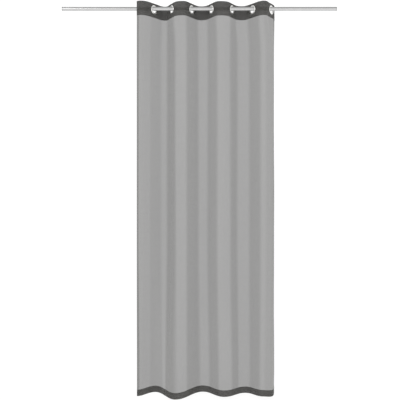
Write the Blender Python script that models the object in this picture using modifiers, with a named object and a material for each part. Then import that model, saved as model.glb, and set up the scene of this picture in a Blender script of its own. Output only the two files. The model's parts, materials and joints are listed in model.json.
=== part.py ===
"""Sheer curtain panel with an eyelet header, hanging on a round rod.

Metres. The rod's axis is the X axis, +Y is behind the curtain and +Z is up, and the origin is
the middle of the rod. Seen from above, the cloth runs as a zigzag of strips, left to right. Each
strip goes through one eyelet, from the fold on its left to the fold on its right, and turns about
an upright axis when the curtain is drawn. A margin of cloth goes on past each outer eyelet.
"""

import math

import bmesh
import bpy
from mathutils import Vector

# Rod
ROD_DIAMETER = 0.025
ROD_WALL = 0.0012
ROD_LENGTH = 1.720
PLUG_CAP = 0.004
PLUG_SPIGOT = 0.025
PLUG_CHAMFER = 0.0006

# Cloth, as it is made
DROP = 2.450
EYELET_PITCH = 0.180  # along the flat cloth, centre to centre
HEADER_HEIGHT = 0.0885
HEM_HEIGHT = 0.040
SIDE_HEM_WIDTH = 0.015
CLOTH_THICKNESS = 0.0008
FOLDED_LAYER = 0.0006  # each layer of the header and of the hem
HEM_FILLING = 0.0006  # room for the hem's turned-in layer
SIDE_HEM_THICKNESS = 0.0016
TAPE_THICKNESS = 0.0005
TAPE_INSET = 0.003  # the tape stops this far inside the header's edges

# Cloth, as it hangs, seen from above
HUNG_SHARES = (0.617, 0.694, 0.683, 0.717, 0.711, 0.650)  # of the pitch, eyelet to eyelet
EYELET_TILTS = (52, 62, 57, 60, 59, 54, 58)  # degrees between the cloth and the rod
FIRST_EYELET_X = -0.284
LEFT_CREST = (0.077, 0.064)  # from the first eyelet: to the left, and to the front
LEFT_FLAP = (0.026, 0.008)  # from that crest: to the left, and to the back
RIGHT_EDGE = (0.018, 0.106)  # from the last eyelet: to the right, and to the back

# Eyelets
EYELET_PLAY = 0.015  # the bore's diameter over the rod's
FLANGE_WIDTH = 0.008
BARREL_WALL = 0.0012
BARREL_ROOM = 0.0005  # between the barrel and what it passes through
FRONT_FLANGE = 0.0013
BACK_FLANGE = 0.0010
RIM_ROUND = 0.0004
CLOTH_ABOVE_EYELET = 0.011

# Fits
GAP = 0.0003  # between pieces that touch
FOLD_RELIEF = 0.0016  # a strip stops this far from the fold it turns about
MARGIN_CLEARANCE = 0.005  # between an outer strip's swinging end and the margin beside it
FLAT_MARGIN = 0.002  # the cloth is flat under an eyelet, and this far past its rim

# Fineness
CURVE_STEPS = 5
CURVE_PULL = 0.38
RING_STEPS = 24
ROD_STEPS = 48

ROD_RADIUS = ROD_DIAMETER / 2
BORE_RADIUS = (ROD_DIAMETER + EYELET_PLAY) / 2
RIM_RADIUS = BORE_RADIUS + FLANGE_WIDTH
HOLE_RADIUS = BORE_RADIUS + BARREL_WALL + BARREL_ROOM
FLAT_HALF = RIM_RADIUS + FLAT_MARGIN
HEADER_OFFSET = TAPE_THICKNESS / 2 + GAP + FOLDED_LAYER / 2
HEADER_HALF = HEADER_OFFSET + FOLDED_LAYER / 2
HEM_OFFSET = (HEM_FILLING + FOLDED_LAYER) / 2
FLANGE_SEAT = HEADER_HALF + GAP
FRONT_FACE = FLANGE_SEAT + FRONT_FLANGE
BACK_FACE = FLANGE_SEAT + BACK_FLANGE
TILTS = [math.radians(tilt) for tilt in EYELET_TILTS]
TILTS_TURNED = [tilt if k % 2 == 0 else -tilt for k, tilt in enumerate(TILTS)]


def hang_drop():
    """How far an eyelet's centre hangs below the rod's axis.

    Seen along the rod, a tilted bore is a narrow upright oval. The rod's circle goes up into it
    until it touches its top or its two sides. The header is stiff, so the eyelet that is tilted
    most to the rod sets the height of them all. The bore is measured across its facets.
    """
    bore = BORE_RADIUS * math.cos(math.pi / RING_STEPS)
    half_width = bore * math.sin(min(TILTS)) - FRONT_FACE * math.cos(min(TILTS))
    reach = ROD_RADIUS + GAP
    wedged = math.sqrt((half_width**2 - reach**2) * (bore**2 - half_width**2)) / half_width
    return min(wedged, bore - reach)


HUNG_GAPS = [EYELET_PITCH * share for share in HUNG_SHARES]
EYELET_Z = -hang_drop()
HEADER_TOP = EYELET_Z + RIM_RADIUS + CLOTH_ABOVE_EYELET
HEADER_BOTTOM = HEADER_TOP - HEADER_HEIGHT
HEM_BOTTOM = HEADER_TOP - DROP
HEM_TOP = HEM_BOTTOM + HEM_HEIGHT
EYELET_X = [FIRST_EYELET_X + sum(HUNG_GAPS[:k]) for k in range(len(HUNG_GAPS) + 1)]


# --- Plan curves -------------------------------------------------------------------------------


def bezier(start, start_pull, end_pull, end):
    """Points of a cubic curve, both ends included."""
    points = []
    for step in range(CURVE_STEPS + 1):
        t = step / CURVE_STEPS
        u = 1 - t
        points.append(
            start * u**3 + start_pull * (3 * u * u * t) + end_pull * (3 * u * t * t) + end * t**3
        )
    return points


def length(points):
    return sum((b - a).length for a, b in zip(points, points[1:]))


def cut_start(points, distance):
    """The curve without its first stretch of this length."""
    for k, (a, b) in enumerate(zip(points, points[1:])):
        step = (b - a).length
        if distance < step:
            return [a.lerp(b, distance / step), *points[k + 1 :]]
        distance -= step
    return points[-1:]


def cut_end(points, distance):
    return cut_start(points[::-1], distance)[::-1]


def smooth_end(start, heading, end, end_heading):
    """The curve from the end of an eyelet's flat stretch to another point."""
    pull = CURVE_PULL * (end - start).length
    return bezier(start, start + heading * pull, end - end_heading * pull, end)


def half_fold(tilt, half_gap, depth):
    """From an eyelet's centre to the fold beside it, to the right and to the back."""
    heading = Vector((math.cos(tilt), math.sin(tilt)))
    flat_end = heading * FLAT_HALF
    fold = Vector((half_gap, depth))
    return [Vector((0, 0)), *smooth_end(flat_end, heading, fold, Vector((1, 0)))]


def fold_depth(gap, left_tilt, right_tilt):
    """The depth at which the cloth between two eyelets keeps its flat length."""
    low, high = 0.0, EYELET_PITCH
    for _ in range(40):
        depth = (low + high) / 2
        halves = [half_fold(tilt, gap / 2, depth) for tilt in (left_tilt, right_tilt)]
        if sum(map(length, halves)) < EYELET_PITCH:
            low = depth
        else:
            high = depth
    return depth


FOLD_DEPTHS = [fold_depth(gap, *TILTS[k : k + 2]) for k, gap in enumerate(HUNG_GAPS)]


def placed(points, k, side):
    """A half fold turned to its side of eyelet k, and to the front or the back."""
    turn = 1 if k % 2 == 0 else -1
    return [Vector((EYELET_X[k] + side * p.x, side * turn * p.y)) for p in points]


def strip_side(k, side):
    """From eyelet k's centre to the strip's end on this side, -1 left and 1 right."""
    beside = k if side > 0 else k - 1
    if 0 <= beside < len(HUNG_GAPS):
        half = half_fold(TILTS[k], HUNG_GAPS[beside] / 2, FOLD_DEPTHS[beside])
        return placed(cut_end(half, FOLD_RELIEF), k, side)
    heading = Vector((math.cos(TILTS[k]), math.sin(TILTS[k])))
    return placed([Vector((0, 0)), heading * FLAT_HALF], k, side)


def strip_plan(k):
    return [*strip_side(k, -1)[:0:-1], *strip_side(k, 1)]


def left_margin_plan():
    """From the left edge, over the front crest, to just short of the first strip."""
    first = Vector((EYELET_X[0], 0))
    heading = Vector((-math.cos(TILTS[0]), -math.sin(TILTS[0])))
    crest = first + Vector((-LEFT_CREST[0], -LEFT_CREST[1]))
    edge = crest + Vector((-LEFT_FLAP[0], LEFT_FLAP[1]))
    inner = smooth_end(first + heading * FLAT_HALF, heading, crest, Vector((-1, 0)))
    outer_heading = (edge - crest + Vector((0, LEFT_FLAP[1]))).normalized()
    outer = smooth_end(crest, Vector((-1, 0)), edge, outer_heading)
    return [*inner, *outer[1:]][::-1]


def right_margin_plan():
    """From just past the last strip, round to the right edge behind the curtain."""
    last = Vector((EYELET_X[-1], 0))
    heading = Vector((math.cos(TILTS[-1]), math.sin(TILTS[-1])))
    edge = last + Vector(RIGHT_EDGE)
    return smooth_end(last + heading * FLAT_HALF, heading, edge, Vector((0, 1)))


def front_normals(points):
    """The level directions that point out of the cloth's face, at each point."""
    normals = []
    for k in range(len(points)):
        along = (points[min(k + 1, len(points) - 1)] - points[max(k - 1, 0)]).normalized()
        normals.append(Vector((along.y, -along.x)))
    return normals


# --- Scene and objects -------------------------------------------------------------------------


def clear_scene():
    for obj in list(bpy.data.objects):
        bpy.data.objects.remove(obj, do_unlink=True)


def new_collection(name):
    collection = bpy.data.collections.new(name)
    bpy.context.scene.collection.children.link(collection)
    return collection


def new_material(name, colour, roughness, metallic=0.0):
    material = bpy.data.materials.new(name)
    material.use_nodes = True
    shader = material.node_tree.nodes["Principled BSDF"]
    shader.inputs["Base Color"].default_value = (*colour, 1)
    shader.inputs["Roughness"].default_value = roughness
    shader.inputs["Metallic"].default_value = metallic
    material.diffuse_color = (*colour, 1)
    return material


def new_pivot(collection, name, place):
    """An empty on a joint's axis, which carries the pieces of one body."""
    pivot = bpy.data.objects.new(name, None)
    pivot.location = place
    pivot.empty_display_size = 0.03
    collection.objects.link(pivot)
    return pivot


def add_object(collection, name, mesh, material, pivot=None):
    obj = bpy.data.objects.new(name, mesh)
    collection.objects.link(obj)
    if material:
        mesh.materials.append(material)
    if pivot:
        obj.parent = pivot
    return obj


def swept_surface(name, plan, profile, origin):
    """An open surface: the profile, as (towards the front, height) points, along the plan."""
    mesh = bpy.data.meshes.new(name)
    shape = bmesh.new()
    rows = []
    for point, normal in zip(plan, front_normals(plan)):
        places = [point + normal * forward for forward, _ in profile]
        rows.append(
            [
                shape.verts.new(Vector((place.x, place.y, height)) - origin)
                for place, (_, height) in zip(places, profile)
            ]
        )
    for left, right in zip(rows, rows[1:]):
        for k in range(len(profile) - 1):
            shape.faces.new((left[k], right[k], right[k + 1], left[k + 1]))
    shape.to_mesh(mesh)
    shape.free()
    mesh.shade_smooth()
    return mesh


def add_sheet(collection, name, plan, profile, thickness, material, pivot, cutter=None):
    """A layer or a folded band of cloth, with the eyelet's hole where it has one."""
    mesh = swept_surface(name, plan, profile, pivot.location)
    obj = add_object(collection, name, mesh, material, pivot)
    solid = obj.modifiers.new("Thickness", "SOLIDIFY")
    solid.thickness = thickness
    solid.offset = 0
    solid.use_even_offset = True
    solid.use_quality_normals = True
    if cutter:
        hole = obj.modifiers.new("EyeletHole", "BOOLEAN")
        hole.operation = "DIFFERENCE"
        hole.object = cutter
    return obj


def add_turned(collection, name, profile, steps, material, closed, pivot=None):
    """A turned piece about its own Z axis, from (radius, height) points, outer side downwards."""
    mesh = bpy.data.meshes.new(name)
    edges = [(k, k + 1) for k in range(len(profile) - 1)]
    if closed:
        edges.append((len(profile) - 1, 0))
    mesh.from_pydata([(radius, 0, height) for radius, height in profile], edges, [])
    obj = add_object(collection, name, mesh, material, pivot)
    turn = obj.modifiers.new("Turn", "SCREW")
    turn.steps = steps
    turn.render_steps = steps
    turn.use_merge_vertices = True
    turn.merge_threshold = 0.00001
    turn.use_smooth_shade = True
    return obj


# --- Pieces ------------------------------------------------------------------------------------


def add_rod(collection, rod_metal, plug_metal):
    """The tube and a flush plug in each end."""
    tube_half = ROD_LENGTH / 2 - PLUG_CAP - GAP
    inner = ROD_RADIUS - ROD_WALL
    tube_profile = [
        (ROD_RADIUS, tube_half),
        (ROD_RADIUS, -tube_half),
        (inner, -tube_half),
        (inner, tube_half),
    ]
    tube = add_turned(collection, "rod_tube", tube_profile, ROD_STEPS, rod_metal, True)
    tube.rotation_euler = (0, math.pi / 2, 0)

    spigot = inner - GAP
    plug_profile = [
        (0, 0),
        (ROD_RADIUS - PLUG_CHAMFER, 0),
        (ROD_RADIUS, -PLUG_CHAMFER),
        (ROD_RADIUS, -PLUG_CAP),
        (spigot, -PLUG_CAP),
        (spigot, -PLUG_CAP - PLUG_SPIGOT),
        (0, -PLUG_CAP - PLUG_SPIGOT),
    ]
    for side, turned_to in ((-1, "left"), (1, "right")):
        name = f"rod_end_plug_{turned_to}"
        plug = add_turned(collection, name, plug_profile, ROD_STEPS, plug_metal, False)
        plug.location = (side * ROD_LENGTH / 2, 0, 0)
        plug.rotation_euler = (0, side * math.pi / 2, 0)


def front_ring_profile():
    """The face ring and its barrel. Height is towards the face of the cloth."""
    middle = BORE_RADIUS + FLANGE_WIDTH / 2
    barrel = BORE_RADIUS + BARREL_WALL
    return [
        (middle, FRONT_FACE),
        (RIM_RADIUS - RIM_ROUND, FRONT_FACE - RIM_ROUND),
        (RIM_RADIUS, FLANGE_SEAT),
        (barrel, FLANGE_SEAT),
        (barrel, -BACK_FACE),
        (BORE_RADIUS, -BACK_FACE),
        (BORE_RADIUS, FRONT_FACE - 2 * RIM_ROUND),
        (BORE_RADIUS + RIM_ROUND, FRONT_FACE - RIM_ROUND / 2),
    ]


def back_ring_profile():
    return [
        (RIM_RADIUS, -FLANGE_SEAT),
        (RIM_RADIUS - RIM_ROUND, -BACK_FACE + RIM_ROUND),
        (RIM_RADIUS - FLANGE_WIDTH / 2, -BACK_FACE),
        (HOLE_RADIUS, -BACK_FACE),
        (HOLE_RADIUS, -FLANGE_SEAT),
    ]


def facing(k):
    """The level direction that eyelet k faces, towards the room."""
    turned = TILTS_TURNED[k]
    return Vector((math.sin(turned), -math.cos(turned), 0))


def face_the_room(obj, k, pivot_place):
    obj.location = Vector((EYELET_X[k], 0, EYELET_Z)) - pivot_place
    obj.rotation_euler = Vector((0, 0, 1)).rotation_difference(facing(k)).to_euler()


def add_eyelet(collection, k, metal, pivot):
    for side, profile in (("front", front_ring_profile()), ("back", back_ring_profile())):
        name = f"eyelet_{side}_{k + 1}"
        ring = add_turned(collection, name, profile, RING_STEPS, metal, True, pivot)
        face_the_room(ring, k, pivot.location)


def add_hole_cutter(cutters, k):
    """A round bar through the header where eyelet k's barrel goes."""
    mesh = bpy.data.meshes.new(f"cutter_eyelet_{k + 1}")
    shape = bmesh.new()
    bmesh.ops.create_cone(
        shape,
        cap_ends=True,
        segments=RING_STEPS,
        radius1=HOLE_RADIUS,
        radius2=HOLE_RADIUS,
        depth=4 * FRONT_FACE,
    )
    shape.to_mesh(mesh)
    shape.free()
    cutter = add_object(cutters, mesh.name, mesh, None)
    face_the_room(cutter, k, Vector((0, 0, 0)))
    cutter.hide_render = True
    cutter.display_type = "WIRE"
    return cutter


def header_profile():
    """Turned over at the top: up the face, over the fold and down the back."""
    ridge = HEADER_TOP - FOLDED_LAYER / 2
    return [
        (HEADER_OFFSET, HEADER_BOTTOM),
        (HEADER_OFFSET, ridge - HEADER_OFFSET),
        (0, ridge),
        (-HEADER_OFFSET, ridge - HEADER_OFFSET),
        (-HEADER_OFFSET, HEADER_BOTTOM),
    ]


def hem_profile():
    """Turned up at the bottom: down the face, round the fold and up the back."""
    keel = HEM_BOTTOM + FOLDED_LAYER / 2
    return [
        (HEM_OFFSET, HEM_TOP),
        (HEM_OFFSET, keel + HEM_OFFSET),
        (0, keel),
        (-HEM_OFFSET, keel + HEM_OFFSET),
        (-HEM_OFFSET, HEM_TOP),
    ]


def add_cloth(collection, name, plan, materials, pivot, cutter=None, main_plan=None):
    """The four layers of one stretch of the panel. main_plan leaves out a side hem."""
    tape_ends = [(0, HEADER_BOTTOM + TAPE_INSET), (0, HEADER_TOP - TAPE_INSET)]
    cloth_ends = [(0, HEM_TOP + GAP), (0, HEADER_BOTTOM - GAP)]
    bands = (
        ("header", plan, header_profile(), FOLDED_LAYER, "folded_cloth", cutter),
        ("header_tape", plan, tape_ends, TAPE_THICKNESS, "tape", cutter),
        ("cloth", main_plan or plan, cloth_ends, CLOTH_THICKNESS, "cloth", None),
        ("hem", plan, hem_profile(), FOLDED_LAYER, "folded_cloth", None),
    )
    for band, way, profile, thickness, kind, hole in bands:
        add_sheet(collection, f"{band}_{name}", way, profile, thickness, materials[kind], pivot, hole)


def add_side_hem(collection, name, plan, material, pivot):
    ends = [(0, HEM_TOP + GAP), (0, HEADER_BOTTOM - GAP)]
    add_sheet(collection, f"side_hem_{name}", plan, ends, SIDE_HEM_THICKNESS, material, pivot)


def strip_pivot(k):
    """The upright axis that strip k turns about: its eyelet, or the fold on its left."""
    if k == 0:
        return Vector((EYELET_X[0], 0, 0))
    back = 1 if k % 2 == 1 else -1
    return Vector(((EYELET_X[k - 1] + EYELET_X[k]) / 2, back * FOLD_DEPTHS[k - 1], 0))


def add_margin(collection, side, plan, edge_first, materials, pivot):
    """The cloth past an outer eyelet, with the turned hem down its edge."""
    outwards = plan[::-1] if edge_first else plan
    body = cut_end(outwards, SIDE_HEM_WIDTH + GAP)
    hem = cut_start(outwards, length(outwards) - SIDE_HEM_WIDTH)
    if edge_first:
        body, hem = body[::-1], hem[::-1]
    add_cloth(collection, f"{side}_margin", plan, materials, pivot, main_plan=body)
    add_side_hem(collection, side, hem, materials["side_hem"], pivot)


def build():
    clear_scene()
    panel = new_collection("curtain_panel")
    cutters = new_collection("cutters")
    materials = {
        "cloth": new_material("sheer_voile", (0.36, 0.355, 0.35), 0.9),
        "side_hem": new_material("side_hem_voile", (0.30, 0.295, 0.29), 0.9),
        "folded_cloth": new_material("folded_voile", (0.10, 0.098, 0.094), 0.9),
        "tape": new_material("header_tape", (0.45, 0.45, 0.44), 0.7),
    }
    rod_metal = new_material("rod_steel", (0.56, 0.56, 0.56), 0.35, 1.0)
    plug_metal = new_material("plug_steel", (0.50, 0.50, 0.50), 0.4, 1.0)
    eyelet_metal = new_material("eyelet_nickel", (0.66, 0.65, 0.63), 0.25, 1.0)

    add_rod(panel, rod_metal, plug_metal)

    start = FLAT_MARGIN + MARGIN_CLEARANCE
    left_pivot = new_pivot(panel, "pivot_left_margin", Vector((EYELET_X[0], 0, 0)))
    left_plan = cut_end(left_margin_plan(), start)
    add_margin(panel, "left", left_plan, True, materials, left_pivot)

    for k in range(len(EYELET_X)):
        pivot = new_pivot(panel, f"pivot_strip_{k + 1}", strip_pivot(k))
        cutter = add_hole_cutter(cutters, k)
        add_cloth(panel, f"strip_{k + 1}", strip_plan(k), materials, pivot, cutter)
        add_eyelet(panel, k, eyelet_metal, pivot)

    right_pivot = new_pivot(panel, "pivot_right_margin", Vector((EYELET_X[-1], 0, 0)))
    right_plan = cut_start(right_margin_plan(), start)
    add_margin(panel, "right", right_plan, False, materials, right_pivot)


build()
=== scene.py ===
"""Looks of the sheer curtain panel: folded voile, eyelets, rod and sewing, in a pale studio."""

import json
import math

import bpy
import numpy as np
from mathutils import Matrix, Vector, noise


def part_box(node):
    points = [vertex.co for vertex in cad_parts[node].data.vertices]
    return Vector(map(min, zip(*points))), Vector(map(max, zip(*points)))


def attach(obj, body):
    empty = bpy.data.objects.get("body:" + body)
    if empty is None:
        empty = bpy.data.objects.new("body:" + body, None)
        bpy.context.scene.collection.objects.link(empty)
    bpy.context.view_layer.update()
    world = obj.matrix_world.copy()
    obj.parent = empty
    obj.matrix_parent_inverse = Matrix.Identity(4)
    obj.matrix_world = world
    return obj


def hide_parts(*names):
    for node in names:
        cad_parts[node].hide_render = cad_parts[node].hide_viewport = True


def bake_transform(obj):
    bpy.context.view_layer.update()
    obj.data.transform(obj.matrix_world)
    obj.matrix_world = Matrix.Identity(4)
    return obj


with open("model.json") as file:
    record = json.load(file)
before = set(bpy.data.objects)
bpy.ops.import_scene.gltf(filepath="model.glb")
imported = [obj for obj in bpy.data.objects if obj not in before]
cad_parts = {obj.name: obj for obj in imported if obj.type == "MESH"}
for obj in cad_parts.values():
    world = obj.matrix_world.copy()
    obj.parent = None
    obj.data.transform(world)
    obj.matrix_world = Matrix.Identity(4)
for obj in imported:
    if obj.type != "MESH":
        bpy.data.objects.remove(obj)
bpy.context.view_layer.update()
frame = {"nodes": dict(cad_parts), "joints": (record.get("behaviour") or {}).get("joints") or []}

# The cloth as it is made, in metres
BODY_LAYER_GAP = 0.0009  # the header's outer layers, from its middle
HEM_LAYER_GAP = 0.0007
INNER_LAYER = -0.0003
TAPE_LAYER = 0.0003
TAPE_INSET = 0.003
SIDE_HEM_WIDTH = 0.015
HOLE_RADIUS = 0.0236  # hidden under the eyelet's flanges

# The cloth as it hangs, seen from above. X is to the right and Y to the back
FLAT_HALF = 0.030  # the stiff header stays flat this far each side of an eyelet
CURVE_PULL = 0.38
LEFT_CREST = (-0.077, -0.064)  # from the first eyelet
LEFT_EDGE = (-0.103, -0.056)
RIGHT_EDGE = (0.0285, 0.106)  # from the last eyelet
EDGE_ON = (0.111, 0.994)  # the right margin runs back along this
CREST_SHIFTS = (0.010, 0.009, 0.0, -0.010, 0.0, 0.010)
BODY_LEFT_EDGE = (-0.1039, -0.048)  # from the first eyelet
BODY_LEFT_HEADING = (0.96, -0.28)
BODY_RIGHT_TURN = (0.4700, 0.034)
BODY_RIGHT_EDGE = (0.4782, 0.106)
BODY_PULL = 0.40
HEM_LEFT_EDGE = (-0.390, -0.012)
HEM_CRESTS = (
    (-0.281, 0.058, 0.0),  # x, y, and how far the hem hangs above its level there
    (-0.147, -0.068, -0.006),
    (0.023, 0.062, 0.0),
    (0.152, -0.052, 0.005),
    (0.292, 0.052, -0.004),
    (0.394, -0.050, 0.007),
)
HEM_LEFT_LIFT = -0.0035
HEM_RIGHT_TURN = (0.4690, 0.030)
HEM_RIGHT_EDGE = (0.4775, 0.107)
RELAX_HEIGHT = 0.22  # below the header the folds turn from flat to round
HEM_WAVE_HEIGHT = 1.00  # over which the hem's own wave grows

# How dense the cloth looks, with painted shade on the sides of its folds
CREST_CLEARNESS = 0.319
SHADED_FLANK_CLEARNESS = 0.250
# Real voile is even. A fold's side looks darker where it is seen at a slant, and these bands of
# denser thread are painted shade standing in for that: set for the front view, and carried along by the
# cloth.
PAINTED_FLANK_SHADE = (  # the eyelet, from and to beside it, and how dense
    (1, -0.120, -0.026, 0.25),
    (1, -0.026, 0.040, 0.58),
    (2, -0.034, 0.023, 1.25),
    (3, -0.031, 0.041, 1.00),
    (4, -0.024, 0.035, 1.05),
    (5, -0.011, 0.036, 1.00),
    (6, -0.018, 0.046, 0.95),
    (7, -0.038, 0.060, 0.45),
    (7, -0.008, 0.060, 0.75),
)
FLANK_SHADE_SOFTNESS = 0.013

COLUMN_STEP = 0.0036
RING_SIDES = 96
STUDIO_SIDES = 96

# Sewing
STITCH_PITCH = 0.0038
STITCH_LENGTH = 0.0029
THREAD_RADIUS = 0.00024
SIDE_THREAD_RADIUS = 0.0002
SEAM_INSET = 0.0025  # from the edge of the header or of the hem


def node_points(name):
    return np.array([v.co for v in frame["nodes"][name].data.vertices], float)


def smooth(t):
    t = np.clip(t, 0, 1)
    return t * t * (3 - 2 * t)


# --- What the frame says ------------------------------------------------------------------------


def read_eyelet(k):
    """Centre, the level direction it faces, and its bore and rim radius."""
    points = node_points(f"eyelet_front_{k}")
    middle = points.mean(0)
    axis = np.linalg.svd(points - middle)[2][2]
    axis = axis * (-1 if axis[1] > 0 else 1)
    axis[2] = 0
    axis /= np.linalg.norm(axis)
    centre = middle - axis * (middle[1] / axis[1])
    away = points - centre
    away -= np.outer(away @ axis, axis)
    radii = np.linalg.norm(away, axis=1)
    return centre, axis, radii.min(), radii.max()


EYELETS = [read_eyelet(k) for k in range(1, 8)]
EYELET_Z = float(np.mean([e[0][2] for e in EYELETS]))
BORE, RIM = EYELETS[0][2], EYELETS[0][3]
header_low, header_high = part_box("header_strip_1")
hem_low, hem_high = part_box("hem_strip_1")
HEADER_TOP, HEADER_BOTTOM = header_high.z, header_low.z
HEM_TOP, HEM_BOTTOM = hem_high.z, hem_low.z
JOINTS = {j["name"]: Vector(j["pos_m"]) for j in frame["joints"] if "pos_m" in j}
CRESTS = [JOINTS[f"fold_{k}"] for k in range(1, 7)]
ROD_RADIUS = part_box("rod_tube")[1].z
ROD_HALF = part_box("rod_end_plug_right")[1].x
TUBE_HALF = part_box("rod_tube")[1].x


# --- Plans of the hanging cloth -----------------------------------------------------------------


def cubic(start, start_pull, end_pull, end, steps=60):
    t = np.linspace(0, 1, steps + 1)[:, None]
    u = 1 - t
    a, b, c, d = (np.array(p, float)[:2] for p in (start, start_pull, end_pull, end))
    return a * u**3 + 3 * b * u * u * t + 3 * c * u * t * t + d * t**3


def bend(start, heading, end, end_heading, pull):
    start, end = np.array(start, float)[:2], np.array(end, float)[:2]
    heading, end_heading = np.array(heading, float), np.array(end_heading, float)
    reach = pull * np.linalg.norm(end - start)
    return cubic(start, start + heading * reach, end - end_heading * reach, end)


def joined(stretches):
    points = [stretches[0]]
    for stretch in stretches[1:]:
        points.append(stretch[1:])
    return np.vstack(points)


def arc(points):
    return np.concatenate([[0], np.cumsum(np.linalg.norm(np.diff(points, axis=0), axis=1))])


def header_plan():
    """Flat under each eyelet and curved between them. Also where the eyelets come along it."""
    stretches, at = [], []
    first = EYELETS[0][0][:2]
    crest = first + LEFT_CREST
    edge = first + LEFT_EDGE
    out = (crest - edge) + (0, LEFT_CREST[1] - LEFT_EDGE[1])
    stretches.append(bend(edge, out / np.linalg.norm(out), crest, (1, 0), CURVE_PULL))
    place, heading = crest, (1, 0)
    for k, (centre, axis, _, _) in enumerate(EYELETS):
        along = np.array((-axis[1], axis[0]))
        flat_start, flat_end = centre[:2] - along * FLAT_HALF, centre[:2] + along * FLAT_HALF
        stretches.append(bend(place, heading, flat_start, along, CURVE_PULL))
        stretches.append(np.linspace(flat_start, centre[:2], 12))
        at.append(arc(joined(stretches))[-1])
        stretches.append(np.linspace(centre[:2], flat_end, 12))
        if k < len(CRESTS):
            place, heading = np.array((CRESTS[k].x + CREST_SHIFTS[k], CRESTS[k].y)), (1, 0)
        else:
            place, heading = centre[:2] + RIGHT_EDGE, EDGE_ON
        stretches.append(bend(flat_end, along, place, heading, CURVE_PULL))
    return joined(stretches), at


def wave_plan(left_edge, left_heading, crests, right_turn, right_edge, depth):
    """Round folds through the crests, each depth times as deep."""
    stretches = []
    place, heading = np.array(left_edge, float), left_heading
    for crest in crests:
        end = np.array((crest[0], crest[1] * depth))
        reach = BODY_PULL * (end[0] - place[0])
        pulled = place + np.array(heading) * reach
        stretches.append(cubic(place, pulled, end - (reach, 0), end))
        place, heading = end, (1, 0)
    turn = np.array(right_turn, float)
    stretches.append(bend(place, heading, turn, EDGE_ON, 0.5))
    stretches.append(np.linspace(turn, right_edge, 30))
    return joined(stretches)


def fitted_plan(total, *shape):
    """The wave whose way along the cloth is the cloth's flat width."""
    low, high = 0.2, 2.5
    for _ in range(40):
        depth = (low + high) / 2
        if arc(wave_plan(*shape, depth))[-1] < total:
            low = depth
        else:
            high = depth
    return wave_plan(*shape, depth)


class Plan:
    """A level line of the cloth, read by how far along the cloth a point is."""

    def __init__(self, points):
        self.along = arc(points)
        self.points = points
        step = np.gradient(points, self.along, axis=0)
        self.heading = step / np.linalg.norm(step, axis=1)[:, None]

    def at(self, s):
        flat = np.ravel(s)
        place = [np.interp(flat, self.along, self.points[:, i]) for i in (0, 1)]
        heading = [np.interp(flat, self.along, self.heading[:, i]) for i in (0, 1)]
        shape = np.shape(s)
        return [np.reshape(a, shape) for a in (*place, *heading)]


header_points, EYELETS_ALONG = header_plan()
FLAT_WIDTH = float(arc(header_points)[-1])
left = EYELETS[0][0][0]
body_crests = [(left + LEFT_CREST[0], LEFT_CREST[1])]
body_crests += [(c.x + shift, c.y) for c, shift in zip(CRESTS, CREST_SHIFTS)]
body_points = fitted_plan(
    FLAT_WIDTH,
    (left + BODY_LEFT_EDGE[0], BODY_LEFT_EDGE[1]),
    BODY_LEFT_HEADING,
    body_crests,
    BODY_RIGHT_TURN,
    BODY_RIGHT_EDGE,
)
hem_points = fitted_plan(
    FLAT_WIDTH, HEM_LEFT_EDGE, (1, 0), HEM_CRESTS, HEM_RIGHT_TURN, HEM_RIGHT_EDGE
)
HEADER_PLAN, BODY_PLAN, HEM_PLAN = (Plan(p) for p in (header_points, body_points, hem_points))


def hem_lift(x):
    """How far the hem hangs above its level, at this x."""
    knots = [(HEM_LEFT_EDGE[0], HEM_LEFT_LIFT), *[(c[0], c[2]) for c in HEM_CRESTS], (HEM_RIGHT_TURN[0], 0.0)]
    xs, lifts = zip(*knots)
    cell = np.clip(np.searchsorted(xs, x) - 1, 0, len(xs) - 2)
    low, high = np.take(xs, cell), np.take(xs, cell + 1)
    share = smooth((x - low) / (high - low))
    return np.take(lifts, cell) * (1 - share) + np.take(lifts, cell + 1) * share


def noise_grid(s, z, across, down, seed):
    points = zip(np.ravel(s) / across, np.ravel(z) / down)
    values = [noise.noise(Vector((a, b, seed))) for a, b in points]
    return np.reshape(values, np.shape(s))


def ripple(s, z):
    """Small unevenness of the cloth, out of its face."""
    below = smooth((HEADER_BOTTOM - z) / 0.30)
    above_hem = 0.4 + 0.6 * smooth((z - HEM_TOP) / 0.10)
    long_folds = 0.0035 * noise_grid(s, z, 0.055, 0.9, 3.1) * below * above_hem
    soft = 0.0012 * noise_grid(s, z, 0.020, 0.25, 7.7) * below * above_hem
    from_eyelet = np.min([np.hypot(s - at, z - EYELET_Z) for at in EYELETS_ALONG], axis=0)
    free = smooth((from_eyelet - RIM) / 0.02)
    in_header = 1 - smooth((HEADER_BOTTOM - z) / 0.06)
    creases = 0.0006 * noise_grid(s, z, 0.014, 0.010, 11.3) * free * in_header
    in_hem = 1 - smooth((z - HEM_TOP) / 0.03)
    puckers = 0.0006 * noise_grid(s, z, 0.012, 0.020, 17.9) * in_hem
    edge = smooth(np.minimum(s, FLAT_WIDTH - s) / 0.02)
    return (long_folds + soft) * edge + creases + puckers


def hung(s, z, forward):
    """The place of a point of the cloth: along it, at a height, and out of its face."""
    rounded = smooth((HEADER_BOTTOM - z) / RELAX_HEIGHT)
    waved = smooth((HEM_BOTTOM + HEM_WAVE_HEIGHT - z) / HEM_WAVE_HEIGHT)
    header, body, hem = (plan.at(s) for plan in (HEADER_PLAN, BODY_PLAN, HEM_PLAN))
    x, y, along_x, along_y = (
        (a * (1 - rounded) + b * rounded) * (1 - waved) + c * waved
        for a, b, c in zip(header, body, hem)
    )
    size = np.hypot(along_x, along_y)
    out = forward + ripple(s, z)
    lifted = z + hem_lift(x) * waved
    return x + along_y / size * out, y - along_x / size * out, lifted


# --- Meshes -------------------------------------------------------------------------------------


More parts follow.
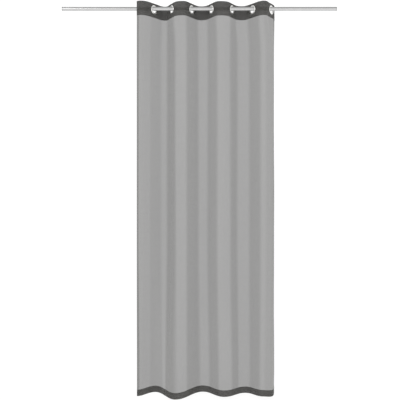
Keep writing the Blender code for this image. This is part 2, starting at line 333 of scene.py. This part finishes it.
def new_object(name, vertices, faces, material):
    mesh = bpy.data.meshes.new(name)
    mesh.from_pydata([tuple(v) for v in vertices], [], [tuple(f) for f in faces])
    mesh.validate()
    mesh.shade_smooth()
    mesh.materials.append(material)
    obj = bpy.data.objects.new(name, mesh)
    bpy.context.scene.collection.objects.link(obj)
    return obj


def give_uv(mesh, name, u, v):
    layer = mesh.uv_layers.new(name=name)
    corner = np.empty(len(mesh.loops), np.int32)
    mesh.loops.foreach_get("vertex_index", corner)
    pairs = np.stack([np.ravel(u)[corner], np.ravel(v)[corner]], 1)
    layer.uv.foreach_set("vector", pairs.astype(np.float32).ravel())


def give_number(mesh, name, values):
    attribute = mesh.attributes.new(name, "FLOAT", "POINT")
    attribute.data.foreach_set("value", np.ravel(values).astype(np.float32))


def grid_faces(rows, columns):
    index = np.arange(rows * columns).reshape(rows, columns)
    quads = (index[:-1, :-1], index[1:, :-1], index[1:, 1:], index[:-1, 1:])
    return np.stack(quads, -1).reshape(-1, 4)


def cloth_profile():
    """(height, out of the face) down the whole cloth: turned over three times at each end."""
    gap, low, high = BODY_LAYER_GAP, HEADER_BOTTOM, HEADER_TOP
    header_rows = 24
    rows = [(z, INNER_LAYER) for z in np.linspace(high - 0.004, low + 0.0010, header_rows)]
    rows += [(low, (INNER_LAYER - gap) / 2)]
    rows += [(z, -gap) for z in np.linspace(low + 0.0010, high - 0.0012, header_rows)]
    rows += [(high - 0.0004, -0.7 * gap), (high, 0), (high - 0.0004, 0.7 * gap)]
    rows += [(z, gap) for z in np.linspace(high - 0.0012, low, header_rows)]
    rows += [(low - 0.004, 0.7 * gap), (low - 0.009, 0.25 * gap), (low - 0.015, 0)]
    gap, low, high = HEM_LAYER_GAP, HEM_BOTTOM, HEM_TOP
    top = HEADER_BOTTOM - 0.023
    rows += [(z, 0) for z in np.linspace(top, top - 0.30, 28)]
    rows += [(z, 0) for z in np.linspace(top - 0.30, high + 0.10, 72)[1:]]
    rows += [(z, 0) for z in np.linspace(high + 0.10, high + 0.012, 8)[1:]]
    rows += [(high + 0.005, 0.3 * gap)]
    hem_rows = 11
    rows += [(z, gap) for z in np.linspace(high, low + 0.0010, hem_rows)]
    rows += [(low + 0.0003, 0.7 * gap), (low, 0), (low + 0.0003, -0.7 * gap)]
    rows += [(z, -gap) for z in np.linspace(low + 0.0010, high - 0.0008, hem_rows)]
    rows += [(high, -gap / 2)]
    rows += [(z, 0) for z in np.linspace(high - 0.0008, low + 0.003, hem_rows)]
    return np.array(rows)


def open_holes(s, z, along):
    """Moves the points inside an eyelet's hole to its rim. Says which they were."""
    inside = np.zeros(s.shape, bool)
    for at in along:
        ds, dz = s - at, z - EYELET_Z
        distance = np.hypot(ds, dz)
        here = distance < HOLE_RADIUS
        scale = np.where(here, HOLE_RADIUS / np.maximum(distance, 1e-6), 1)
        s, z = at + ds * scale, EYELET_Z + dz * scale
        inside |= here
    return s, z, inside


def clearness_with_painted_shade(s):
    """How much light one layer lets through: less on the sides of the folds, where shade is painted in as
    denser thread.
    """
    x = BODY_PLAN.at(s)[0]
    painted_shade = np.zeros(np.shape(s))
    # painted shade: darker bands on the sides of the folds, from the table above
    for k, start, end, share in PAINTED_FLANK_SHADE:
        beside = x - EYELETS[k - 1][0][0]
        rise = smooth((beside - start) / FLANK_SHADE_SOFTNESS / 2 + 0.5)
        fall = smooth((beside - end) / FLANK_SHADE_SOFTNESS / 2 + 0.5)
        painted_shade = np.maximum(painted_shade, share * rise * (1 - fall))
    return CREST_CLEARNESS + (SHADED_FLANK_CLEARNESS - CREST_CLEARNESS) * painted_shade


def cover_with_painted_shade(s, z):
    edge = 1 - smooth((np.minimum(s, FLAT_WIDTH - s) - 0.008) / 0.016)
    folded_top = 1 - smooth((HEADER_TOP - z) / 0.004)
    folded_bottom = 1 - smooth((z - HEM_BOTTOM) / 0.004)
    # the cloth's own cover, with the painted shade of the fold sides in it; edges and turned-over layers add
    # real cover
    cover_and_shade = 1 - clearness_with_painted_shade(s)
    return np.clip(cover_and_shade + 0.04 * edge + 0.15 * folded_top + 0.15 * folded_bottom, 0, 1)


def sheet_piece(name, start, end, profile, material):
    """A piece of cloth between two places along it, with half a hole at an eyelet."""
    columns = max(2, round((end - start) / COLUMN_STEP)) + 1
    s, z = np.meshgrid(np.linspace(start, end, columns), profile[:, 0])
    forward = np.repeat(profile[:, 1:2], columns, 1)
    steps = np.hypot(np.diff(profile[:, 0]), np.diff(profile[:, 1]))
    down = np.repeat(np.concatenate([[0], np.cumsum(steps)])[:, None], columns, 1)
    flat_u = (s - start) / (end - start)
    near = [at for at in EYELETS_ALONG if start - 1e-6 <= at <= end + 1e-6]
    s, z, inside = open_holes(s, z, near)
    faces = grid_faces(len(profile), columns)
    faces = faces[~inside.ravel()[faces].all(1)]
    x, y, height = hung(s, z, forward)
    points = np.stack([x.ravel(), y.ravel(), height.ravel()], 1)
    used = np.unique(faces)
    order = np.full(len(points), -1)
    order[used] = np.arange(len(used))
    obj = new_object(name, points[used], order[faces], material)
    give_uv(obj.data, "OFBake", flat_u.ravel()[used], 1 - down.ravel()[used] / down.max())
    give_uv(obj.data, "Cloth", s.ravel()[used], down.ravel()[used])
    # the cover stored here is the cloth's own, with painted shade on the sides of the folds
    give_number(obj.data, "thread_cover_and_painted_shade", cover_with_painted_shade(s, z).ravel()[used])
    return obj, float(down.max())


def stitches(name, lines, material, thread_radius=THREAD_RADIUS):
    """Sewn dashes along lines on the cloth, given as (start, end) of (along, height, forward)."""
    sides, steps = 4, 3
    turns = np.linspace(0, 2 * math.pi, sides, endpoint=False)
    rounds = np.linspace(0, 1, steps + 1)
    faces = []
    loop = grid_faces(steps + 1, sides + 1)
    loop = np.where(loop % (sides + 1) == sides, loop - sides, loop)
    loop = loop // (sides + 1) * sides + loop % (sides + 1)
    s_all, z_all, f_all = [], [], []
    for (s0, z0, f0), (s1, z1, _) in lines:
        length = math.hypot(s1 - s0, z1 - z0)
        count = int(length / STITCH_PITCH)
        upright = abs(z1 - z0) > abs(s1 - s0)
        facing = math.copysign(1, f0)
        for k in range(count):
            share = ((k + 0.1) * STITCH_PITCH + STITCH_LENGTH * rounds) / length
            arch = f0 + facing * thread_radius * (1.2 * np.sin(rounds * math.pi) - 0.7)
            s, z = s0 + (s1 - s0) * share, z0 + (z1 - z0) * share
            side = thread_radius * np.cos(turns)
            out = thread_radius * np.sin(turns)
            f_all.append(arch[:, None] + out)
            s_all.append(s[:, None] + (side if upright else 0 * side))
            z_all.append(z[:, None] + (0 * side if upright else side))
            faces.append(loop + len(faces) * sides * (steps + 1))
    s, z, f = (np.concatenate(a) for a in (s_all, z_all, f_all))
    x, y, height = hung(s, z, f)
    vertices = np.stack([x.ravel(), y.ravel(), height.ravel()], 1)
    return new_object(name, vertices, np.concatenate(faces), material)


def turned(name, profile, centre, axis, sides, material, closed=True):
    """A turned piece: (radius, forward) points round an axis."""
    axis = np.array(axis, float)
    up = np.array((0.0, 0.0, 1.0)) if abs(axis[2]) < 0.9 else np.array((0.0, 1.0, 0.0))
    side = np.cross(up, axis)
    side /= np.linalg.norm(side)
    up = np.cross(axis, side)
    angles = np.linspace(0, 2 * math.pi, sides, endpoint=False)
    rows = []
    for radius, forward in profile:
        ring = np.cos(angles)[:, None] * side + np.sin(angles)[:, None] * up
        rows.append(np.array(centre) + axis * forward + ring * radius)
    count = len(profile)
    faces = []
    for a in range(count if closed else count - 1):
        b = (a + 1) % count
        for k in range(sides):
            n = (k + 1) % sides
            faces.append((a * sides + k, b * sides + k, b * sides + n, a * sides + n))
    obj = new_object(name, np.vstack(rows), faces, material)
    obj.data.set_sharp_from_angle(angle=math.radians(40))
    return obj


# --- Materials ----------------------------------------------------------------------------------


class Look:
    """A Principled material and the nodes that feed it."""

    def __init__(self, name, **values):
        self.material = bpy.data.materials.new(name)
        self.material.use_nodes = True
        self.nodes = self.material.node_tree.nodes
        self.links = self.material.node_tree.links
        self.shader = self.nodes["Principled BSDF"]
        for socket, value in values.items():
            self.shader.inputs[socket.replace("_", " ")].default_value = value

    def node(self, kind, **values):
        node = self.nodes.new(kind)
        for name, value in values.items():
            setattr(node, name, value)
        return node

    def set(self, node, **values):
        for name, value in values.items():
            node.inputs[name.replace("_", " ")].default_value = value
        return node

    def link(self, output, target):
        self.links.new(output, target)

    def math(self, operation, a, b):
        node = self.node("ShaderNodeMath", operation=operation)
        for k, value in enumerate((a, b)):
            if isinstance(value, (int, float)):
                node.inputs[k].default_value = value
            else:
                self.link(value, node.inputs[k])
        return node.outputs[0]

    def coordinates(self, uv_map, scale):
        source = self.node("ShaderNodeUVMap", uv_map=uv_map)
        mapping = self.node("ShaderNodeMapping")
        mapping.inputs["Scale"].default_value = scale
        self.link(source.outputs["UV"], mapping.inputs["Vector"])
        return mapping.outputs[0]

    def noise(self, vector, scale, detail=2.0, roughness=0.5):
        node = self.node("ShaderNodeTexNoise")
        self.set(node, Scale=scale, Detail=detail, Roughness=roughness)
        self.link(vector, node.inputs["Vector"])
        return node.outputs["Fac"]

    def colours(self, factor, *stops):
        node = self.node("ShaderNodeValToRGB")
        ramp = node.color_ramp
        ramp.elements[0].position, ramp.elements[0].color = stops[0][0], (*stops[0][1], 1)
        ramp.elements[1].position, ramp.elements[1].color = stops[-1][0], (*stops[-1][1], 1)
        for position, colour in stops[1:-1]:
            ramp.elements.new(position).color = (*colour, 1)
        self.link(factor, node.inputs["Fac"])
        return node.outputs["Color"]

    def spread(self, factor, low, high):
        node = self.node("ShaderNodeMapRange")
        self.set(node, To_Min=low, To_Max=high)
        self.link(factor, node.inputs["Value"])
        return node.outputs[0]

    def bump(self, height, strength, distance):
        node = self.node("ShaderNodeBump")
        self.set(node, Strength=strength, Distance=distance)
        self.link(height, node.inputs["Height"])
        self.link(node.outputs["Normal"], self.shader.inputs["Normal"])


YARN_SPACING = 0.0011
WAVE_BANDS = 0.314  # a wave texture's scale for one band a metre


def voile_look(name, low, high, share=1.0):
    """Sheer plain weave: dark yarn, light through it, slubs along warp and weft."""
    look = Look(name, Roughness=0.85, Sheen_Weight=0.10, Sheen_Roughness=0.5)
    look.shader.inputs["Specular IOR Level"].default_value = 0.15
    warp_slubs = look.noise(look.coordinates("Cloth", (380, 9, 1)), 1.0, 2)
    weft_slubs = look.noise(look.coordinates("Cloth", (9, 380, 1)), 1.0, 2)
    slubs = look.math("ADD", warp_slubs, weft_slubs)
    patches = look.noise(look.coordinates("Cloth", (6, 2.5, 1)), 1.0, 3)
    mottle = look.noise(look.coordinates("Cloth", (75, 75, 1)), 1.0, 2)
    tone = look.math("ADD", look.math("MULTIPLY", slubs, 0.25), look.math("MULTIPLY", patches, 0.15))
    tone = look.math("ADD", tone, look.math("MULTIPLY", mottle, 0.35))
    look.link(look.colours(tone, (0.30, low), (0.70, high)), look.shader.inputs["Base Color"])
    # alpha from the cover attribute: the cloth's own cover, with painted shade on the sides of the folds
    cover_and_shade_in = look.node("ShaderNodeAttribute", attribute_name="thread_cover_and_painted_shade").outputs["Fac"]
    uneven = look.math("MULTIPLY", look.math("SUBTRACT", slubs, 1.0), 0.05)
    cover_and_shade = look.math("MULTIPLY", look.math("ADD", cover_and_shade_in, uneven), share)
    look.link(cover_and_shade, look.shader.inputs["Alpha"])
    warp = look.node("ShaderNodeTexWave", bands_direction="X")
    weft = look.node("ShaderNodeTexWave", bands_direction="Y")
    for wave in (warp, weft):
        look.set(wave, Scale=WAVE_BANDS / YARN_SPACING)
        look.link(look.coordinates("Cloth", (1, 1, 1)), wave.inputs["Vector"])
    threads = look.math("MAXIMUM", warp.outputs["Fac"], weft.outputs["Fac"])
    look.bump(look.math("ADD", threads, slubs), 0.25, 0.0003)
    look.link(look.spread(slubs, 0.78, 0.92), look.shader.inputs["Roughness"])
    return look.material


def tape_look():
    """Clear stiff band: nearly invisible between the layers."""
    look = Look("clear_header_tape", Roughness=0.6, Alpha=0.08)
    grain = look.noise(look.coordinates("Cloth", (300, 300, 1)), 1.0, 2)
    pale, paler = (0.34, 0.34, 0.33), (0.42, 0.42, 0.41)
    look.link(look.colours(grain, (0.35, pale), (0.65, paler)), look.shader.inputs["Base Color"])
    look.link(look.spread(grain, 0.5, 0.7), look.shader.inputs["Roughness"])
    return look.material


def metal_look(name, dark, light, rough_low, rough_high, scale, stretch):
    """Plated metal with fine brushing, dulled a little in patches."""
    look = Look(name, Metallic=1.0)
    source = look.node("ShaderNodeTexCoord")
    mapping = look.node("ShaderNodeMapping")
    mapping.inputs["Scale"].default_value = stretch
    look.link(source.outputs["Object"], mapping.inputs["Vector"])
    brushing = look.noise(mapping.outputs[0], scale, 3)
    patches = look.noise(source.outputs["Object"], 18.0, 3)
    tone = look.math("ADD", look.math("MULTIPLY", brushing, 0.5), look.math("MULTIPLY", patches, 0.5))
    look.link(look.colours(tone, (0.35, dark), (0.65, light)), look.shader.inputs["Base Color"])
    look.link(look.spread(tone, rough_low, rough_high), look.shader.inputs["Roughness"])
    look.bump(brushing, 0.05, 0.0002)
    return look.material


def thread_look():
    look = Look("sewing_thread", Roughness=0.7, Sheen_Weight=0.2)
    source = look.node("ShaderNodeTexCoord").outputs["Object"]
    twist = look.noise(source, 900.0, 1)
    look.link(
        look.colours(twist, (0.3, (0.040, 0.040, 0.038)), (0.7, (0.075, 0.073, 0.070))),
        look.shader.inputs["Base Color"],
    )
    look.bump(twist, 0.3, 0.0002)
    return look.material


voile = voile_look("sheer_voile", (0.062, 0.060, 0.056), (0.094, 0.092, 0.087))
side_voile = voile_look("side_hem_voile", (0.060, 0.058, 0.054), (0.085, 0.083, 0.078), 0.30)
tape = tape_look()
thread = thread_look()
rod_metal = metal_look(
    "brushed_rod", (0.56, 0.56, 0.56), (0.62, 0.62, 0.62), 0.20, 0.30, 60.0, (0.4, 12, 12)
)
plug_metal = metal_look(
    "satin_plug", (0.48, 0.48, 0.48), (0.56, 0.56, 0.56), 0.32, 0.42, 90.0, (1, 1, 1)
)
eyelet_metal = metal_look(
    "plated_eyelet", (0.93, 0.93, 0.91), (0.97, 0.97, 0.95), 0.22, 0.32, 120.0, (1, 1, 1)
)

# --- Pieces -------------------------------------------------------------------------------------

BANDS = ("cloth", "header", "hem")
PROFILE = cloth_profile()
TAPE_PROFILE = np.array(
    [(z, TAPE_LAYER) for z in np.linspace(HEADER_TOP - TAPE_INSET, HEADER_BOTTOM + TAPE_INSET, 24)]
)
PLACES = [0.0, *EYELETS_ALONG, FLAT_WIDTH]
STAND_FOR = [
    ["left_margin"],
    *[[f"strip_{k}"] for k in range(1, 7)],
    ["strip_7", "right_margin"],
]


def ride_cloth(obj):
    """Bakes the piece's place into its mesh."""
    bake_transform(obj)


def add_panel():
    cloths = []
    for k in range(8):
        start, end = PLACES[k], PLACES[k + 1]
        name = f"voile_panel_{k + 1}"
        cloth, cut = sheet_piece(name, start, end, PROFILE, voile)
        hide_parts(*[f"{band}_{part}" for part in STAND_FOR[k] for band in BANDS])
        band, band_cut = sheet_piece(f"header_tape_{k + 1}", start, end, TAPE_PROFILE, tape)
        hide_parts(*[f"header_tape_{part}" for part in STAND_FOR[k]])

        header_line, hem_line = HEADER_BOTTOM + SEAM_INSET, HEM_TOP - SEAM_INSET
        lines = []
        for facing in (1, -1):
            at_header = facing * (BODY_LAYER_GAP + 0.0002)
            at_hem = facing * (HEM_LAYER_GAP + 0.0002)
            lines.append(((start, header_line, at_header), (end, header_line, at_header)))
            lines.append(((start, hem_line, at_hem), (end, hem_line, at_hem)))
        sewing = stitches(f"stitching_{k + 1}", lines, thread)
        for obj in (cloth, band, sewing):
            ride_cloth(obj)
        cloths.append((cloth, band, sewing, end - start, cut, band_cut))
    return cloths


def add_side_hem(side, near, body, width_from):
    """The narrow turned edge down one side, behind the cloth, and its sewing."""
    heights = np.concatenate(
        [
            np.linspace(HEADER_TOP - 0.001, HEADER_BOTTOM, 26),
            np.linspace(HEADER_BOTTOM, HEM_TOP, 96)[1:-1],
            np.linspace(HEM_TOP, HEM_BOTTOM + 0.001, 12),
        ]
    )
    out = 0.0005 + (BODY_LAYER_GAP) * (
        1 - smooth((HEADER_BOTTOM - heights) / 0.015) + 1 - smooth((heights - HEM_TOP) / 0.015)
    )
    profile = np.stack([heights, -out], 1)
    start, end = sorted((near, near + width_from * SIDE_HEM_WIDTH))
    hem, cut = sheet_piece(f"side_hem_edge_{side}", start, end, profile, side_voile)
    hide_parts(f"side_hem_{side}")
    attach(hem, body)
    line = near + width_from * 0.8 * SIDE_HEM_WIDTH
    top, bottom = HEADER_BOTTOM - 0.004, HEM_TOP + 0.004
    sewing = stitches(
        f"side_stitching_{side}",
        [((line, top, 0.0003), (line, bottom, 0.0003))],
        thread,
        thread_radius=SIDE_THREAD_RADIUS,
    )
    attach(sewing, body)
    return hem, sewing, cut


def front_ring_profile():
    seat, barrel = 0.00150, BORE + 0.0011
    dome = [
        (BORE + (RIM - BORE) * (0.5 - 0.5 * math.cos(a)), 0.00155 + 0.00155 * math.sin(a))
        for a in np.linspace(math.pi * 0.94, math.pi * 0.03, 16)
    ]
    back = -0.00250
    return [
        *dome,
        (RIM, seat),
        (barrel, seat),
        (barrel, back),
        (BORE + 0.0005, back - 0.0003),
        (BORE, back),
        (BORE, 0.0010),
    ]


def back_ring_profile():
    seat, inner = -0.00150, BORE + 0.0016
    dome = [
        (inner + (RIM - inner) * (0.5 - 0.5 * math.cos(a)), seat - 0.0002 - 0.0010 * math.sin(a))
        for a in np.linspace(0.03 * math.pi, 0.97 * math.pi, 12)
    ]
    return [(inner, seat), *dome, (RIM, seat)]


def add_rings():
    rings = []
    for k, (centre, axis, _, _) in enumerate(EYELETS, 1):
        centre = (centre[0], centre[1], EYELET_Z)
        for side, profile in (("front", front_ring_profile()), ("back", back_ring_profile())):
            ring = turned(f"ring_{side}_{k}", profile, centre, axis, RING_SIDES, eyelet_metal)
            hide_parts(f"eyelet_{side}_{k}")
            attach(ring, f"strip_{k}")
            rings.append(ring)
    return rings


def add_rod():
    inner, chamfer = ROD_RADIUS - 0.0012, 0.0003
    stations = np.linspace(TUBE_HALF - chamfer, -TUBE_HALF + chamfer, 40)
    outer = [(ROD_RADIUS, x) for x in stations]
    profile = [
        (ROD_RADIUS - chamfer, TUBE_HALF),
        *outer,
        (ROD_RADIUS - chamfer, -TUBE_HALF),
        (inner, -TUBE_HALF),
        (inner, TUBE_HALF),
    ]
    tube = turned("rod_tube_round", profile, (0, 0, 0), (1, 0, 0), RING_SIDES, rod_metal)
    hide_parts("rod_tube")
    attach(tube, "rod")
    for side, facing in (("left", -1), ("right", 1)):
        cap_inside = TUBE_HALF + 0.0002
        edge = [
            (ROD_RADIUS - 0.0008 * (1 - math.sin(a)), ROD_HALF - 0.0008 * (1 - math.cos(a)))
            for a in np.linspace(0, math.pi / 2, 6)
        ]
        profile = [
            (0.00005, ROD_HALF - 0.0002),
            (ROD_RADIUS * 0.6, ROD_HALF - 0.0001),
            *edge,
            (ROD_RADIUS, cap_inside),
            (inner - 0.0003, cap_inside),
            (inner - 0.0003, cap_inside - 0.025),
            (0.00005, cap_inside - 0.025),
        ]
        name = f"rod_plug_{side}_round"
        plug = turned(name, profile, (0, 0, 0), (facing, 0, 0), RING_SIDES, plug_metal)
        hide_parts(f"rod_end_plug_{side}")
        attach(plug, "rod")
    return tube


rod = add_rod()
rings = add_rings()
cloths = add_panel()
left_hem = add_side_hem("left", 0.0, "left_margin", 1)
right_hem = add_side_hem("right", FLAT_WIDTH, "right_margin", -1)

for k, (cloth, band, sewing, width, cut, band_cut) in enumerate(cloths):
    at = [ring for n in (k - 1, k) if 0 <= n < 7 for ring in rings[2 * n : 2 * n + 2]]

# --- Studio -------------------------------------------------------------------------------------

FLOOR_Z = -2.452


def stage_look(name, colour, glow):
    look = Look(name, Roughness=0.9)
    shader = look.shader.inputs
    shader["Base Color"].default_value = (colour, colour, colour, 1)
    shader["Emission Color"].default_value = (1, 1, 1, 1)
    shader["Emission Strength"].default_value = glow
    shader["Specular IOR Level"].default_value = 0.0
    return look.material


def add_area(name, place, target, size, power):
    light = bpy.data.lights.new(name, "AREA")
    light.shape, light.size, light.energy = "SQUARE", size, power
    obj = bpy.data.objects.new(name, light)
    bpy.context.scene.collection.objects.link(obj)
    obj.location = place
    aim = Vector(target) - Vector(place)
    obj.rotation_euler = aim.to_track_quat("-Z", "Y").to_euler()


FLOOR_RADIUS = 8
COVE = 4.0  # the radius by which the floor turns up into the wall
WALL_HEIGHT = 6.8
CEILING_Z = 9.0
CEILING_RADIUS = 20.0
DISC_CENTRE = 0.0005

floor_profile = [(r, 0.0) for r in (DISC_CENTRE, 2, 4, 6, FLOOR_RADIUS)]
floor_profile += [
    (FLOOR_RADIUS + COVE * math.sin(a), COVE * (1 - math.cos(a)))
    for a in np.linspace(0.1, math.pi / 2, 14)
]
floor_profile += [(FLOOR_RADIUS + COVE, WALL_HEIGHT)]
floor = turned(
    "studio_floor",
    floor_profile,
    (0, 0, FLOOR_Z),
    (0, 0, 1),
    STUDIO_SIDES,
    stage_look("studio_floor", 0.25, 0.86),
    closed=False,
)
ceiling = turned(
    "studio_ceiling",
    [(DISC_CENTRE, 0.0), (CEILING_RADIUS, 0.0)],
    (0, 0, CEILING_Z),
    (0, 0, 1),
    STUDIO_SIDES,
    stage_look("studio_ceiling", 0.2, 0.40),
    closed=False,
)
world = bpy.data.worlds.new("studio_white")
world.use_nodes = True
world.node_tree.nodes["Background"].inputs["Color"].default_value = (1, 1, 1, 1)
world.node_tree.nodes["Background"].inputs["Strength"].default_value = 0.80
bpy.context.scene.world = world
add_area("key", (-2.6, -3.4, 1.2), (0, 0, -1.0), 2.2, 44)
add_area("fill", (3.2, -2.6, -0.4), (0, 0, -1.2), 2.6, 18)

# --- Camera -------------------------------------------------------------------------------------

CAMERA_DISTANCE = 4.2
FIELD = 2.504  # metres across the picture, at the rod
CAMERA_X = 0.0037
CAMERA_Z = -1.196
SENSOR_WIDTH = 36

camera = bpy.data.cameras.new("camera")
camera.sensor_width = SENSOR_WIDTH
camera.lens = SENSOR_WIDTH * CAMERA_DISTANCE / FIELD
eye = bpy.data.objects.new("camera", camera)
bpy.context.scene.collection.objects.link(eye)
eye.location = (CAMERA_X, -CAMERA_DISTANCE, CAMERA_Z)
eye.rotation_euler = (math.pi / 2, 0, 0)
bpy.context.scene.camera = eye
bpy.context.scene.view_settings.view_transform = "Standard"
